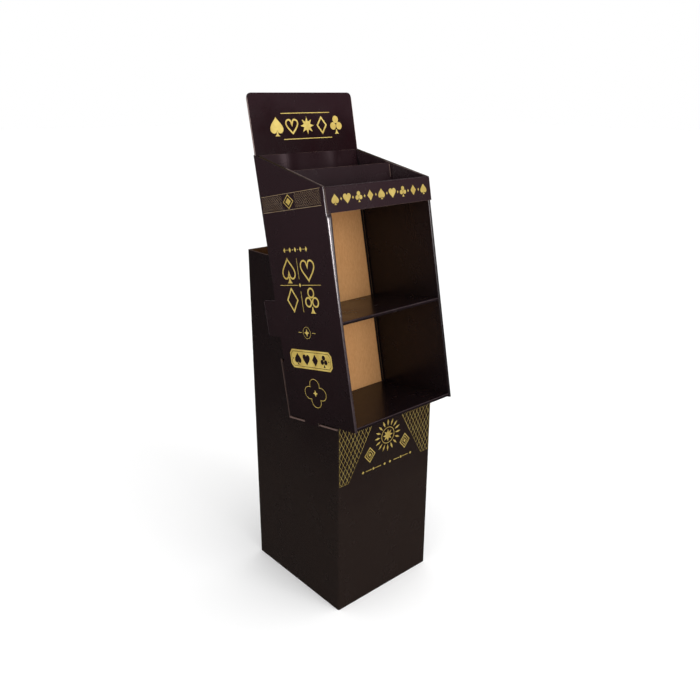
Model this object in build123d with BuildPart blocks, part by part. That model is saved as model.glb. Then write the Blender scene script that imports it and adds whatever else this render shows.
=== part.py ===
"""Floor display stand of corrugated board: a tall base sleeve, a leaning case with two shelves,
a divided bin on top and a header card. Millimetres, +Z up, front towards -Y, origin on the floor
under the middle of the base."""

import os
from math import cos, radians, sin, tan

from build123d import *

# Board and fits
board = 4.0              # thickness of the single-wall board
fold_inside = 1.0        # radius on the inside of a right-angle fold
fold_flat = 0.2          # flat left at the nose of a fold of 180 degrees
fit = 0.3                # clearance between sheets that lie against each other
slot_play = 0.6          # how much wider a slot is than the board in it
side_play = 0.5          # gap at each end of a card that stands between the inner walls

# Base sleeve
base_width = 400.0
base_depth = 436.0
base_height = 1111.0
bottom_play = 0.6        # gap between the bottom panel and the walls round it
tuck_height = 42.0       # flap of the bottom panel, tucked up behind the front wall
glue_flap = 38.0         # width of the glue flap inside the rear corner
glue_flap_start = 12.0   # its lower end above the floor

# Case, seated in the base by the lower rear corner of its outer walls
seat_y = -1.5
seat_z = 617.0
case_lean = 11.5         # back and front folds, degrees from upright
shelf_lean = 9.3         # middle shelf and lower edges, degrees from level
floor_lean = 7.9         # floor of the case, degrees from level
case_depth = 302.0
side_rear_height = 800.0
side_fall = 124.0        # upper edge of the sides, from the rear down to the front
fold_gap = 1.0           # space between outer and inner wall at the front fold
toe_in = 8.3             # how much nearer the middle each inner wall is at the back panel

# Tabs of the outer walls
rear_tab_length = 60.0
rear_tab_height = 112.0
rear_tab_level = 254.0
foot_lug = 11.0          # the outer wall is this much deeper low down
foot_lug_height = 182.0
foot_tab_width = 66.0
foot_tab_length = 13.5
foot_tab_start = 63.0
tab_radius = 4.0

# Notch in the side walls of the base
notch_drop = 11.0        # lower edge below the lower edge of the case
notch_back = 24.0        # rear edge behind the rear edge of the outer wall
notch_lap = 3.0          # higher up, the outer wall laps over the rear edge by this much

# Shelves
floor_level = 18.0       # top of the floor at the rear
shelf_level = 319.5      # top of the middle shelf at the rear
shelf_edge = 10.0        # height of the front edge that is folded under
shelf_return = 70.0      # length of the ply folded under
shelf_setback = 3.0      # front edge behind the front fold of the case
shelf_gap = 2.5          # gap between the shelf and the back panel
shelf_tab = 50.0
shelf_tab_reach = 1.4    # tab length past the inner wall
shelf_tab_places = (85.0, 205.0)

# Bin, divider and header
bin_depth = 44.0         # bin floor below the front corners of the sides
bin_back_drop = 3.0      # bin back wall below the rear corners of the sides
strip_height = 71.0
strip_rise = 1.0         # strip above the front corners of the sides
strip_play = 0.5         # strip in front of the front folds
strip_wrap = 10.0        # front wall and strip together, measured at their fold
strip_trim = 2.0         # each end of the strip, short of the outer wall
divider_place = 158.0    # middle of the divider, forward of the rear edge
divider_play = 1.5       # gap at each end of the divider
divider_radius = 3.0
divider_tab = 46.0
divider_tab_spread = 200.0
divider_tab_reach = 1.5
header_rise = 176.0      # header above the rear corners of the sides
header_lap = 145.0       # and the length of it that stands behind the back panel
header_radius = 14.0

os.makedirs("parts", exist_ok=True)

# Values that follow from the driving dimensions
base_half = base_width / 2
base_front = -base_depth / 2
fold_outside = fold_inside + board
outer_half = base_half + fit + board
inner_front_half = outer_half - 2 * board - fold_gap
inner_rear_half = inner_front_half - toe_in
front_fold = board + (fold_gap - fold_flat) / 2
back_rear = fit + board + fit
back_front = back_rear + board
edge_slope = tan(radians(case_lean - shelf_lean))
top_slope = side_fall / case_depth
side_front_height = side_rear_height - side_fall
bin_level = side_front_height - bin_depth
bin_back_height = side_rear_height - bin_back_drop
strip_top = side_front_height + strip_rise
strip_bottom = strip_top - strip_height
strip_front = case_depth + strip_play + board
strip_fold = (strip_wrap - fold_flat) / 2
header_half = outer_half - board - fit
header_bottom = side_rear_height - header_lap
header_height = header_lap + header_rise


def leaning_frame(lean, up=0.0):
    """Frame of the case at a height up its lean: X right, Y back, Z up, leaning back by lean."""
    origin = (0, seat_y + up * sin(radians(case_lean)), seat_z + up * cos(radians(case_lean)))
    return Plane(origin=origin, x_dir=(1, 0, 0), z_dir=(0, sin(radians(lean)), cos(radians(lean))))


def side_view(frame, x=0.0):
    """Upright plane across X at a given x: first axis forward, second axis up the frame."""
    return Plane(origin=frame.origin + Vector(x, 0, 0), x_dir=-frame.y_dir, z_dir=(-1, 0, 0))


def front_view(frame, forward):
    """Plane that faces forward, a given distance in front of the frame: X right, second axis up."""
    return Plane(origin=frame.origin - frame.y_dir * forward, x_dir=(1, 0, 0), z_dir=-frame.y_dir)


def lower_edge(forward):
    """Height of the lower edge of the case, a given distance forward of its rear edge."""
    return -forward * edge_slope


def inner_half(forward):
    """Half of the clear width between the inner walls, a given distance forward."""
    return inner_rear_half + toe_in * (forward - back_front) / (case_depth - back_front)


def tab_width(forward):
    """Width across the shelf tabs, which pass through both inner walls."""
    return 2 * (inner_half(forward) + board + shelf_tab_reach)


case_frame = leaning_frame(case_lean)
case_side = side_view(case_frame)
floor_frame = leaning_frame(floor_lean, floor_level)
shelf_frame = leaning_frame(shelf_lean, shelf_level)
bin_frame = leaning_frame(case_lean, bin_level)

# Base sleeve: four walls and a tuck-in bottom of one sheet, folded round the corners
with BuildPart() as base_sleeve:
    with BuildSketch() as walls:
        RectangleRounded(base_width, base_depth, fold_outside)
        RectangleRounded(base_width - 2 * board, base_depth - 2 * board, fold_inside, mode=Mode.SUBTRACT)
    extrude(amount=base_height)

    # Bottom panel, folded forward from the rear wall and up behind the front wall
    bottom_half = base_half - board - bottom_play
    with BuildSketch() as rear_wall_foot:
        with Locations((0, base_depth / 2)):
            Rectangle(2 * (base_half - board), board, align=(Align.CENTER, Align.MAX))
    extrude(amount=fold_outside, mode=Mode.SUBTRACT)
    tuck_front = base_depth / 2 - board - bottom_play
    with BuildSketch(side_view(Plane.XY)) as bottom_section:
        with BuildLine():
            FilletPolyline(
                (base_front, fold_outside + board),
                (base_front, 0),
                (tuck_front, 0),
                (tuck_front, tuck_height),
                radius=fold_outside,
            )
            offset(amount=board, side=Side.LEFT)
        make_face()
    extrude(amount=bottom_half, both=True)

    # Glue flap on the inside of the rear wall
    with BuildSketch(Plane.XY.offset(glue_flap_start)) as flap:
        with Locations((board - base_half, base_depth / 2 - board)):
            Rectangle(glue_flap, board, align=(Align.MIN, Align.MAX))
    extrude(amount=base_height - glue_flap_start)

    # Notch for the case, cut through both side walls and clear across the front
    notch_front = case_depth + base_depth
    with BuildSketch(case_side) as notch:
        with BuildLine():
            Polyline(
                (notch_front, lower_edge(notch_front) - notch_drop),
                (-notch_back, lower_edge(-notch_back) - notch_drop),
                (-notch_back, foot_lug_height),
                (notch_lap, foot_lug_height),
                (notch_lap, base_height),
                (notch_front, base_height),
                close=True,
            )
        make_face()
    extrude(amount=base_width, both=True, mode=Mode.SUBTRACT)

    # Front wall, up to the lower edge of the case
    case_rest = seat_z + (seat_y - base_front - board) * tan(radians(shelf_lean))
    with BuildSketch() as front_wall:
        with Locations((0, base_front)):
            Rectangle(base_width - 2 * fold_outside, board, align=(Align.CENTER, Align.MIN))
    extrude(amount=case_rest - fit)
base_sleeve.part.label = "base_sleeve"
export_step(base_sleeve.part, "parts/base_sleeve.step")

# Case body: back panel, inner walls, front folds and outer walls of one sheet
with BuildPart() as case_body:
    with BuildSketch(case_frame.offset(lower_edge(case_depth))) as section:
        with BuildLine():
            FilletPolyline(
                (0, -back_front),
                (inner_rear_half, -back_front),
                (inner_front_half, -case_depth),
                (outer_half, -case_depth),
                (outer_half, 0),
                radius=[fold_inside, front_fold, front_fold],
            )
            offset(amount=board, side=Side.LEFT)
        make_face()
    extrude(amount=side_rear_height - lower_edge(case_depth))

    # Upper edge that slopes down to the front, and lower edge along the floor
    with BuildSketch(case_side) as side_outline:
        with BuildLine():
            Polyline(
                (0, lower_edge(0)),
                (case_depth, lower_edge(case_depth)),
                (case_depth, side_front_height),
                (0, side_rear_height),
                close=True,
            )
        make_face()
    extrude(amount=2 * outer_half, both=True, mode=Mode.INTERSECT)

    # Rear tab, which laps over the outside of the base
    with BuildSketch(side_view(case_frame, outer_half)) as rear_tab:
        with Locations((0, rear_tab_level + rear_tab_height / 2)):
            RectangleRounded(2 * rear_tab_length, rear_tab_height, tab_radius)
    extrude(amount=board)

    # Deeper foot of the outer wall
    with BuildSketch(side_view(case_frame, outer_half)) as lug:
        with BuildLine():
            Polyline(
                (0, lower_edge(0)),
                (0, foot_lug_height),
                (-foot_lug, foot_lug_height - foot_lug),
                (-foot_lug, lower_edge(-foot_lug)),
                close=True,
            )
        make_face()
    extrude(amount=board)

    # Bottom tab, which hangs over the lower edge of the notch
    foot_tab_end = foot_tab_start + foot_tab_width
    with BuildSketch(side_view(case_frame, outer_half)) as foot_tab:
        with BuildLine():
            FilletPolyline(
                (foot_tab_start, foot_tab_length),
                (foot_tab_start, lower_edge(foot_tab_start) - foot_tab_length),
                (foot_tab_end, lower_edge(foot_tab_end) - foot_tab_length),
                (foot_tab_end, foot_tab_length),
                radius=tab_radius,
                close=True,
            )
        make_face()
    extrude(amount=board)

    # Slots in the inner wall for the tabs of the floor, the shelf and the bin
    slot_end = outer_half - board - fit
    for frame in (floor_frame, shelf_frame, bin_frame):
        with BuildSketch(frame.offset(slot_play / 2)) as slots:
            for place in shelf_tab_places:
                slot_start = inner_half(place) - board
                with Locations((slot_start, -place)):
                    Rectangle(
                        slot_end - slot_start,
                        shelf_tab + slot_play,
                        align=(Align.MIN, Align.CENTER),
                    )
        extrude(amount=-board - slot_play, mode=Mode.SUBTRACT)
    mirror(about=Plane.YZ)
case_body.part.label = "case_body"
export_step(case_body.part, "parts/case_body.step")

# Floor and middle shelf: one sheet each, front edge folded under, tabs through the inner walls
shelf_rear = back_front + shelf_gap
shelf_front = case_depth - shelf_setback
for shelf_name, frame in (("case_floor", floor_frame), ("middle_shelf", shelf_frame)):
    with BuildPart() as shelf:
        with BuildSketch(side_view(frame)) as shelf_section:
            with BuildLine():
                FilletPolyline(
                    (shelf_rear, 0),
                    (shelf_front, 0),
                    (shelf_front, -shelf_edge),
                    (shelf_front - shelf_return, -shelf_edge),
                    radius=(shelf_edge - fold_flat) / 2,
                )
                offset(amount=board, side=Side.RIGHT)
            make_face()
        extrude(amount=outer_half, both=True)
        with BuildSketch(frame) as shelf_outline:
            with BuildLine():
                Polyline(
                    (inner_half(shelf_rear) - side_play, -shelf_rear),
                    (inner_half(shelf_front) - side_play, -shelf_front),
                    (side_play - inner_half(shelf_front), -shelf_front),
                    (side_play - inner_half(shelf_rear), -shelf_rear),
                    close=True,
                )
            make_face()
        extrude(amount=-shelf_edge, mode=Mode.INTERSECT)
        with BuildSketch(frame) as shelf_tabs:
            for place in shelf_tab_places:
                with Locations((0, -place)):
                    Rectangle(tab_width(place), shelf_tab)
        extrude(amount=-board)
    shelf.part.label = shelf_name
    export_step(shelf.part, f"parts/{shelf_name}.step")

# Bin tray: back wall, floor, front wall and front strip of one sheet
tray_rear = back_front + fit + board
tray_front = strip_front - strip_wrap
divider_ends = (-divider_tab_spread / 2, divider_tab_spread / 2)
with BuildPart() as bin_tray:
    with BuildSketch(case_side) as tray_section:
        with BuildLine():
            FilletPolyline(
                (tray_rear, bin_back_height),
                (tray_rear, bin_level),
                (tray_front, bin_level),
                (tray_front, strip_top),
                (strip_front, strip_top),
                (strip_front, strip_bottom),
                radius=[fold_inside, fold_inside, strip_fold, strip_fold],
            )
            offset(amount=board, side=Side.RIGHT)
        make_face()
    extrude(amount=outer_half, both=True)
    tray_front_half = inner_half(tray_front) - side_play
    tray_rear_half = inner_rear_half - fold_inside
    strip_rear = strip_front - board
    with BuildSketch(case_frame) as tray_outline:
        with BuildLine():
            Polyline(
                (tray_rear_half, -back_front),
                (tray_front_half, -tray_front),
                (tray_front_half, -strip_rear),
                (-tray_front_half, -strip_rear),
                (-tray_front_half, -tray_front),
                (-tray_rear_half, -back_front),
                close=True,
            )
        make_face()
        with Locations((0, -strip_rear)):
            Rectangle(2 * (outer_half - strip_trim), board, align=(Align.CENTER, Align.MAX))
    extrude(amount=side_rear_height, mode=Mode.INTERSECT)
    with BuildSketch(bin_frame) as tray_tabs:
        for place in shelf_tab_places:
            with Locations((0, -place)):
                Rectangle(tab_width(place), shelf_tab)
    extrude(amount=-board)
    with BuildSketch(bin_frame) as divider_slots:
        with Locations(*((end, -divider_place) for end in divider_ends)):
            Rectangle(divider_tab + slot_play, board + slot_play)
    extrude(amount=-board, mode=Mode.SUBTRACT)
bin_tray.part.label = "bin_tray"
export_step(bin_tray.part, "parts/bin_tray.step")

# Divider: a card across the bin, with two tabs through the bin floor
divider_front = divider_place + board / 2
divider_top = side_rear_height - top_slope * divider_place
divider_half = inner_half(divider_place) - divider_play
with BuildPart() as bin_divider:
    with BuildSketch(front_view(case_frame, divider_front)) as divider_face:
        with Locations((0, bin_level + fit)):
            Rectangle(2 * divider_half, divider_top - bin_level - fit, align=(Align.CENTER, Align.MIN))
        fillet(divider_face.vertices().group_by(Axis.Y)[-1], divider_radius)
        tab_bottom = bin_level - board - divider_tab_reach
        with Locations(*((end, tab_bottom) for end in divider_ends)):
            Rectangle(divider_tab, bin_level + board - tab_bottom, align=(Align.CENTER, Align.MIN))
    extrude(amount=-board)
bin_divider.part.label = "bin_divider"
export_step(bin_divider.part, "parts/bin_divider.step")

# Header card: stands behind the back panel, between the rear ends of the outer walls
with BuildPart() as header_card:
    with BuildSketch(front_view(case_frame, fit + board)) as header_face:
        with Locations((0, header_bottom)):
            Rectangle(2 * header_half, header_height, align=(Align.CENTER, Align.MIN))
        fillet(header_face.vertices().group_by(Axis.Y)[-1], header_radius)
    extrude(amount=-board)
header_card.part.label = "header_card"
export_step(header_card.part, "parts/header_card.step")
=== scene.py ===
"""Looks of the corrugated-board floor display: the finish of each sheet, its cut edges and the gold
print, with a pale floor, soft studio lights and the camera. Metres, in the frame of the solids."""

from math import cos, exp, pi, radians, sin

import bpy
from mathutils import Matrix, Vector


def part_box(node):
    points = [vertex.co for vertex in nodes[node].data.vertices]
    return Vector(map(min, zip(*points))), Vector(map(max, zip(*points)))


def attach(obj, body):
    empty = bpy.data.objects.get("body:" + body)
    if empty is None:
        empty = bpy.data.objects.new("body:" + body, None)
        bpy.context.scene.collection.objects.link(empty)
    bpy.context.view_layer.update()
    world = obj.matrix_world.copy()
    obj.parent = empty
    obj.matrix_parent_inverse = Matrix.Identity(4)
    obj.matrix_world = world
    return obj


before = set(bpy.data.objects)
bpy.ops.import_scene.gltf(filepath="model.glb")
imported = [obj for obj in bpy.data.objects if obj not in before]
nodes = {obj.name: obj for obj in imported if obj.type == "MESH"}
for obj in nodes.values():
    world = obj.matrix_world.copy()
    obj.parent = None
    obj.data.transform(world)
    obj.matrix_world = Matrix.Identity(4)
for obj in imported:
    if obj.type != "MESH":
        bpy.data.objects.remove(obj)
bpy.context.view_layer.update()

mm = 0.001
rightward, plumb = Vector((1, 0, 0)), Vector((0, 0, 1))

# Board
board = 4 * mm
half_board = board / 2
liner = 0.45 * mm
flute_pitch = 7.8 * mm

# Base
base_low, base_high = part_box("base_sleeve")
base_corner = 5 * mm

# Case, leaning back from the lower rear corner of its outer walls
case_lean = radians(11.5)
case_seat = Vector((0, -1.5 * mm, 617 * mm))
forward = Vector((0, -cos(case_lean), sin(case_lean)))
upward = Vector((0, sin(case_lean), cos(case_lean)))
case_depth = 302 * mm
side_rear, side_front = 800 * mm, 676 * mm
outer_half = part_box("case_body")[1].x
inner_rear_half = 187 * mm
toe_in = 8.3 * mm
back_front = 8.6 * mm
shelf_leans = {"case_floor": radians(7.9), "middle_shelf": radians(9.3)}

# Bin, with the strip in front of it
bin_floor, bin_back_top = 632 * mm, 797 * mm
strip_low, strip_high = 606 * mm, 672 * mm


def case_point(across, ahead, up):
    """A point from its place in the leaning frame of the case."""
    return case_seat + across * rightward + ahead * forward + up * upward


def case_place(point):
    """Place of a point in the leaning frame of the case: across, ahead, up."""
    offset = point - case_seat
    return offset.x, offset.dot(forward), offset.dot(upward)


def inner_half(ahead):
    """Half of the clear width between the inner walls, a given distance forward."""
    return inner_rear_half + toe_in * (ahead - back_front) / (case_depth - back_front)


# Shader helpers
noise_spread = 0.3, 0.7  # nearly all values of a noise lie between these
noise_roughness = 0.6


def new_material(name):
    """A material with its Principled shader and Object coordinates."""
    material = bpy.data.materials.new(name)
    material.use_nodes = True
    tree = material.node_tree
    shader = tree.nodes["Principled BSDF"]
    place = tree.nodes.new("ShaderNodeTexCoord").outputs["Object"]
    return material, tree, shader, place


def feed(tree, node, inputs):
    """Links or sets the inputs of a node."""
    for socket, value in inputs.items():
        if isinstance(value, bpy.types.NodeSocket):
            tree.links.new(value, node.inputs[socket])
        else:
            node.inputs[socket].default_value = value


def add_node(tree, kind, inputs=(), **settings):
    """A node with its settings and its inputs."""
    node = tree.nodes.new(kind)
    for name, value in settings.items():
        setattr(node, name, value)
    feed(tree, node, dict(inputs))
    return node


def noise(tree, place, scale, detail=3.0, stretch=(1, 1, 1)):
    """Noise of so many blobs to the metre, stretched along the axes."""
    mapped = add_node(tree, "ShaderNodeMapping", {"Vector": place, "Scale": stretch})
    inputs = {"Scale": scale, "Detail": detail, "Roughness": noise_roughness}
    return add_node(
        tree, "ShaderNodeTexNoise", {"Vector": mapped.outputs["Vector"], **inputs}
    ).outputs["Fac"]


def ramp(tree, value, source, target):
    """Value taken from the source range to the target range, and held at its ends."""
    inputs = {"Value": value, "From Min": source[0], "From Max": source[1]}
    return add_node(
        tree, "ShaderNodeMapRange", {**inputs, "To Min": target[0], "To Max": target[1]}
    ).outputs["Result"]


def stain(tree, colour, value, tone, source=noise_spread, share=1.0):
    """A colour that gives way to a tone, at most by a share, as a value crosses the source range."""
    amount = ramp(tree, value, source, (0, share))
    mix = add_node(tree, "ShaderNodeMix", {0: amount, 6: colour, 7: tone}, data_type="RGBA")
    return mix.outputs[2]


def arithmetic(tree, operation, *values):
    """The result of an operation on one or two values."""
    return add_node(tree, "ShaderNodeMath", dict(enumerate(values)), operation=operation).outputs[0]


def coordinate(tree, place, axis):
    """One coordinate of a place."""
    return add_node(tree, "ShaderNodeSeparateXYZ", {"Vector": place}).outputs[axis]


def washboard(tree, place, lean):
    """Height of the flutes that show through a liner, along X and along the depth of a sheet."""
    turned = add_node(tree, "ShaderNodeMapping", {"Vector": place, "Rotation": (lean, 0, 0)})
    waves = []
    for axis in ("X", "Y"):
        along = coordinate(tree, turned.outputs["Vector"], axis)
        angle = arithmetic(tree, "MULTIPLY", along, 2 * pi / flute_pitch)
        waves.append(arithmetic(tree, "SINE", angle))
    return arithmetic(tree, "ADD", *waves)


def bump(tree, height, distance, strength, normal=None):
    """Normal bent by a height in metres."""
    inputs = {"Height": height, "Distance": distance, "Strength": strength}
    if normal is not None:
        inputs["Normal"] = normal
    return add_node(tree, "ShaderNodeBump", inputs).outputs["Normal"]


def tinted(colour, tint):
    """An opaque colour, each channel times its tint."""
    return (*(channel * share for channel, share in zip(colour, tint)), 1)


# Dark print: tones at the lower and the upper end of a span of height. The drift with height is painted light
# and shade: the case and the header lighter towards their tops, the base darker towards its top, under the
# case; the shaded inner tones are a darker copy, as painted shade inside the case.
case_tones = (0.0032, 0.0010, 0.0008, 1), (0.0190, 0.0086, 0.0110, 1)
base_tones = (0.0125, 0.0076, 0.0060, 1), (0.0070, 0.0032, 0.0034, 1)
liner_tones = (0.0032, 0.0010, 0.0008, 1), (0.0125, 0.0042, 0.0058, 1)
header_tones = (0.0100, 0.0017, 0.0030, 1), (0.0176, 0.0066, 0.0090, 1)
shaded_inner_tones = (0.0060, 0.0036, 0.0044, 1), (0.0088, 0.0054, 0.0064, 1)
case_span, base_span, header_span = (0.35, 1.35), (0.35, 0.75), (1.43, 1.56)
cloud_drift = 0.08  # height by which clouds move the tone up or down
satin, dull_satin = (0.21, 0.29), (0.26, 0.34)
white, rose = (1, 1, 1, 1), (1, 0.74, 0.80, 1)


def dark_print(name, lean, tones, span, index=1.40, gloss=satin, tint=white):
    """Dark print under a satin varnish, its tone drifting over a span of height as painted light and shade,
    over faint flutes.
    """
    material, tree, shader, place = new_material(name)
    clouds = noise(tree, place, scale=5.0, detail=4.0)
    patches = noise(tree, place, scale=14.0)
    grain = noise(tree, place, scale=900.0, detail=2.0)
    drift = ramp(tree, clouds, noise_spread, (-cloud_drift, cloud_drift))
    level = arithmetic(tree, "ADD", coordinate(tree, place, "Z"), drift)
    ridges = bump(tree, washboard(tree, place, lean), distance=0.02 * mm, strength=0.5)
    low_tone, high_tone = tones
    feed(tree, shader, {
        "Base Color": stain(tree, low_tone, level, high_tone, span),
        "Roughness": ramp(tree, patches, noise_spread, gloss),
        "Normal": bump(tree, grain, distance=0.02 * mm, strength=0.25, normal=ridges),
        "IOR": index,
        "Specular Tint": tint,
    })
    return material


# Bare kraft
kraft_dark, kraft_light = (0.43, 0.208, 0.078), (0.53, 0.275, 0.108)
kraft_fleck, kraft_cloud, kraft_band = (0.24, 0.125, 0.05), (0.40, 0.225, 0.10), (0.30, 0.16, 0.068)
bleed_and_shade_tone = (0.0080, 0.0034, 0.0018, 1)
bleed_blur = 0.3 * mm


def bare_kraft(name, lean, shade=1.0, bare_half=None):
    """Bare kraft liner: brown paper with long fibres, flecks and faint bands over the flutes. A shade below 1
    darkens it all, as painted shade.

    Past half of its bare width, the dark print of the next panel runs onto it, in a dark warm tone that is
    also painted shade in the corner by the inner wall.
    """
    material, tree, shader, place = new_material(name)
    dark, light, fleck, cloud, band = (
        tinted(tone, (shade, shade, shade))
        for tone in (kraft_dark, kraft_light, kraft_fleck, kraft_cloud, kraft_band)
    )
    fibres = noise(tree, place, scale=220.0, detail=5.0, stretch=(1, 1, 0.25))
    flecks = noise(tree, place, scale=1500.0, detail=2.0)
    clouds = noise(tree, place, scale=9.0)
    waves = washboard(tree, place, lean)
    colour = stain(tree, dark, fibres, light)
    colour = stain(tree, colour, flecks, fleck, source=(0.62, 0.72), share=0.35)
    colour = stain(tree, colour, clouds, cloud, share=0.22)
    colour = stain(tree, colour, waves, band, source=(-1, 1), share=0.10)
    if bare_half:
        away = arithmetic(tree, "ABSOLUTE", coordinate(tree, place, "X"))
        colour = stain(tree, colour, away, bleed_and_shade_tone, (bare_half - bleed_blur, bare_half + bleed_blur))
    ridges = bump(tree, waves, distance=0.05 * mm, strength=0.6)
    feed(tree, shader, {
        "Base Color": colour,
        "Roughness": 0.82,
        "Normal": bump(tree, fibres, distance=0.08 * mm, strength=0.4, normal=ridges),
        "Specular IOR Level": 0.12,
    })
    return material


# Cut edges, and folds worn pale and painted with highlight
hollow_dark, hollow_light = (0.035, 0.024, 0.020, 1), (0.065, 0.046, 0.038, 1)
rub_dark, wear_and_sheen_pale, crack_tone = (0.020, 0.0115, 0.0138, 1), (0.040, 0.027, 0.030, 1), (0.11, 0.085, 0.085, 1)
paper_dark, paper_light, paper_shade = (0.115, 0.084, 0.078), (0.190, 0.145, 0.138), (0.083, 0.061, 0.058)


def flute_hollow():
    """Shaded hollows of the fluting, seen in a cut edge between the liners."""
    material, tree, shader, place = new_material("flute_hollow")
    grain = noise(tree, place, scale=600.0)
    feed(tree, shader, {
        "Base Color": stain(tree, hollow_dark, grain, hollow_light),
        "Roughness": 0.95,
        "Specular IOR Level": 0.1,
    })
    return material


def rubbed_and_sheen_fold(name, index=1.5):
    """Print rubbed pale along a fold, where the varnish is stretched and glossy. The pale tone is partly wear
    and partly a painted highlight of the fold catching the light.
    """
    material, tree, shader, place = new_material(name)
    wear_and_sheen_mask = noise(tree, place, scale=60.0, detail=4.0)
    cracks = noise(tree, place, scale=800.0)
    colour = stain(tree, rub_dark, wear_and_sheen_mask, wear_and_sheen_pale, source=(0.35, 0.7))
    feed(tree, shader, {
        "Base Color": stain(tree, colour, cracks, crack_tone, source=(0.60, 0.72), share=0.5),
        "Roughness": ramp(tree, cracks, noise_spread, (0.23, 0.35)),
        "Normal": bump(tree, cracks, distance=0.03 * mm, strength=0.4),
        "IOR": index,
    })
    return material


def paper_edge(name, tint):
    """Torn paper of the liners and the fluting, seen on edge."""
    material, tree, shader, place = new_material(name)
    dark, light, shade = (tinted(tone, tint) for tone in (paper_dark, paper_light, paper_shade))
    fibres = noise(tree, place, scale=700.0, detail=4.0)
    patches = noise(tree, place, scale=45.0)
    colour = stain(tree, dark, fibres, light)
    feed(tree, shader, {
        "Base Color": stain(tree, colour, patches, shade, source=(0.45, 0.7), share=0.5),
        "Roughness": 0.9,
        "Normal": bump(tree, fibres, distance=0.05 * mm, strength=0.5),
        "Specular IOR Level": 0.1,
    })
    return material


# Gold ink
gold_deep, gold_pale, gold_speck = (0.52, 0.36, 0.068), (0.70, 0.535, 0.135), (0.36, 0.24, 0.055)


def gold_ink(name, shade, greyness=1.0):
    """Satin gold ink that shades from pale to deep, with a fine speckle. In fine lines it looks greyer. Its
    shade makes a darker copy of it for a panel, as painted shade.
    """
    material, tree, shader, place = new_material(name)
    deep, pale, speck = (
        tinted(tone, (shade, shade, shade * greyness)) for tone in (gold_deep, gold_pale, gold_speck)
    )
    shades = noise(tree, place, scale=28.0)
    speckle = noise(tree, place, scale=1100.0, detail=2.0)
    colour = stain(tree, deep, shades, pale, source=(0.35, 0.65))
    feed(tree, shader, {
        "Base Color": stain(tree, colour, speckle, speck, source=(0.55, 0.75), share=0.4),
        "Roughness": ramp(tree, speckle, noise_spread, (0.32, 0.46)),
        "Normal": bump(tree, speckle, distance=0.01 * mm, strength=0.3),
        "Metallic": 0.15,
    })
    return material


back_bare_half = 177 * mm
case_print = dark_print("case_print", case_lean, case_tones, case_span)
liner_print = dark_print("liner_print", case_lean, liner_tones, case_span, gloss=dull_satin, tint=rose)
header_print = dark_print("header_print", case_lean, header_tones, header_span, index=1.33)
base_print = dark_print("base_print", 0, base_tones, base_span)
# Darker copies of the print for the inside of the case and the shelf tops, as painted shade.
shaded_inner_print = dark_print("shaded_inner_print", case_lean, shaded_inner_tones, case_span, index=1.27)
shaded_shelf_print = dark_print("shaded_shelf_print", case_lean, shaded_inner_tones, case_span, index=1.18)
case_kraft = bare_kraft("case_kraft", case_lean)
back_kraft = bare_kraft("back_kraft", case_lean, bare_half=back_bare_half)
# Kraft darkened as painted shade: inside the base, and in the hollows between the walls of the case.
shaded_base_kraft = bare_kraft("shaded_base_kraft", 0, shade=0.2)
shaded_wall_kraft = bare_kraft("shaded_wall_kraft", case_lean, shade=0.12)
cut_edge = flute_hollow()
fold_print = rubbed_and_sheen_fold("fold_print")
open_fold = rubbed_and_sheen_fold("open_fold", index=1.75)
shut_fold = rubbed_and_sheen_fold("shut_fold", index=1.38)
edge_paper = paper_edge("edge_paper", (0.96, 0.83, 0.72))
base_edge = paper_edge("base_edge", (0.74, 0.62, 0.56))
# Lighter copies of the edge paper, as painted light, and a near-black one, as painted shade.
lit_wall_edge = paper_edge("lit_wall_edge", (1.35, 1.35, 1.35))
lit_pale_edge = paper_edge("lit_pale_edge", (2.2, 2.2, 2.2))
dark_edge = paper_edge("dark_edge", (0.12, 0.12, 0.12))
# Copies of the gold ink darkened panel by panel, as painted shade, darkest on the strip and the base.
side_gold = gold_ink("side_gold", shade=0.87)
band_gold = gold_ink("band_gold", shade=0.75, greyness=2.4)
base_gold = gold_ink("base_gold", shade=0.55)
header_gold = gold_ink("header_gold", shade=0.92)
strip_gold = gold_ink("strip_gold", shade=0.65)


# Which finish each face of a sheet has, by its place and by how much its normal points along an axis
PRINT, BARE, CUT, FOLD, INNER, HIDDEN, BACK = range(7)
facing, turning = 0.6, 0.3  # least share for a face of a panel, and for one that turns in a fold
near = 0.1 * mm  # a face this close to a plane lies in it
edge_reach = 1 * mm


def base_face(centre, normal):
    """Base: printed outside, round its corners and under its bottom, bare inside, in kraft darkened as
    painted shade.
    """
    underside, upright = -0.2, 0.5
    from_side, from_end = base_high.x - abs(centre.x), base_high.y - abs(centre.y)
    inside = min(from_side, from_end, centre.z)
    if centre.z < base_corner and (normal.z < underside or inside < half_board):
        return PRINT
    if abs(normal.z) < upright and max(from_side, from_end) < base_corner:
        outward = Vector((centre.x, centre.y)).normalized().dot(normal.xy)
        return PRINT if outward > upright else BARE
    if inside < near and normal.z < upright:
        return PRINT
    return CUT if inside < board - near else BARE


def front_fold_face(across, ahead, outward, onward):
    """Front fold of the case: the crest, the print beside it and the hollow inside it, in dark kraft as
    painted shade. The right crest takes the darker inner print, as painted shade.
    """
    crest_facing = 0.25
    away = (abs(across) - outer_half + board) * outward + (ahead - case_depth + board) * onward
    if away <= 0:
        return HIDDEN
    if onward <= crest_facing:
        return PRINT
    return FOLD if across <= 0 else INNER


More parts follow.
